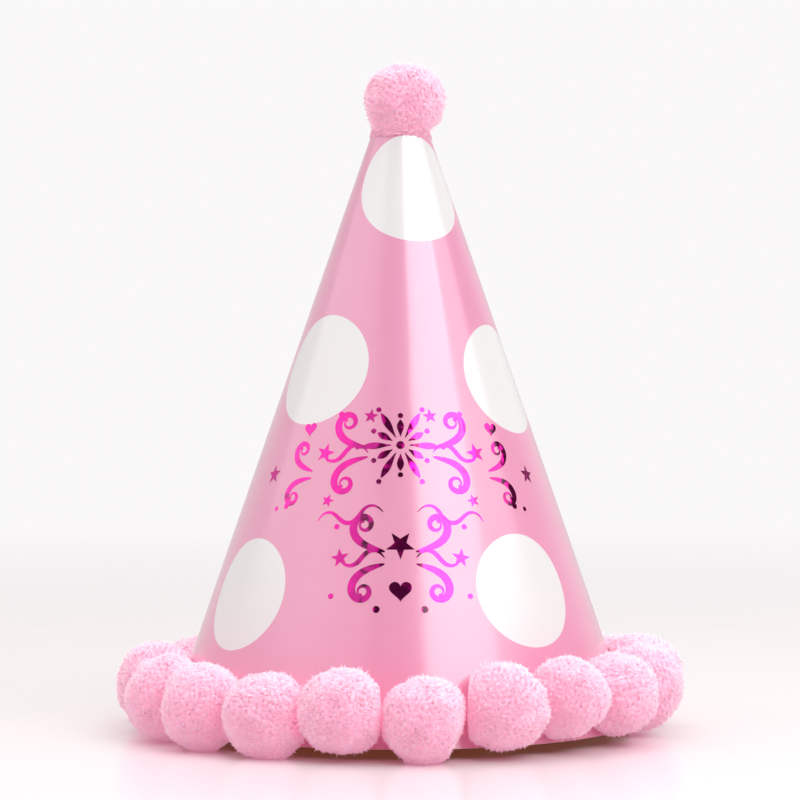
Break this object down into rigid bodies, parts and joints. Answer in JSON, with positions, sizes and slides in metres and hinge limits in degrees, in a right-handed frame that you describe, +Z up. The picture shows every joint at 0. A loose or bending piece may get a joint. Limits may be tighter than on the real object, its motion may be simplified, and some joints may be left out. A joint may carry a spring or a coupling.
{
  "type": "party hat",
  "caption": "Cone party hat of rolled card with polka dots and foil, a pompom on the tip and a ring of pompoms round the rim.",
  "frame": {"origin": "on the cone's axis, on the surface that the hat stands on", "axes": "+Z up the cone's axis to the tip, -Y towards the front, +X to the right of someone who looks at the front"},
  "size_m": [0.166, 0.1673, 0.1969],
  "materials": {
    "printed_card": "gloss laminated print outside, bare brown kraft inside",
    "pompom_pile": "soft cut acrylic pile",
    "binding_thread": "twisted thread",
    "hot_glue": "translucent, set from melt",
    "seam_tape": "clear double-sided tape",
    "stamped_foil": "mirror-bright coloured foil"
  },
  "bodies": {
    "root": {"card_cone": "printed_card", "seam_tape": "seam_tape", "tip_pompom": "pompom_pile", "tip_pompom_thread": "binding_thread", "tip_glue": "hot_glue", "rim_pompom_01": "pompom_pile", "rim_pompom_02": "pompom_pile", "rim_pompom_03": "pompom_pile", "rim_pompom_04": "pompom_pile", "rim_pompom_05": "pompom_pile", "rim_pompom_06": "pompom_pile", "rim_pompom_07": "pompom_pile", "rim_pompom_08": "pompom_pile", "rim_pompom_09": "pompom_pile", "rim_pompom_10": "pompom_pile", "rim_pompom_11": "pompom_pile", "rim_pompom_12": "pompom_pile", "rim_pompom_13": "pompom_pile", "rim_pompom_14": "pompom_pile", "rim_pompom_15": "pompom_pile", "rim_pompom_16": "pompom_pile", "rim_pompom_17": "pompom_pile", "rim_pompom_18": "pompom_pile", "rim_pompom_19": "pompom_pile", "rim_pompom_20": "pompom_pile", "rim_pompom_threads": "binding_thread", "rim_glue_dots": "hot_glue"}
  },
  "joints": []
}
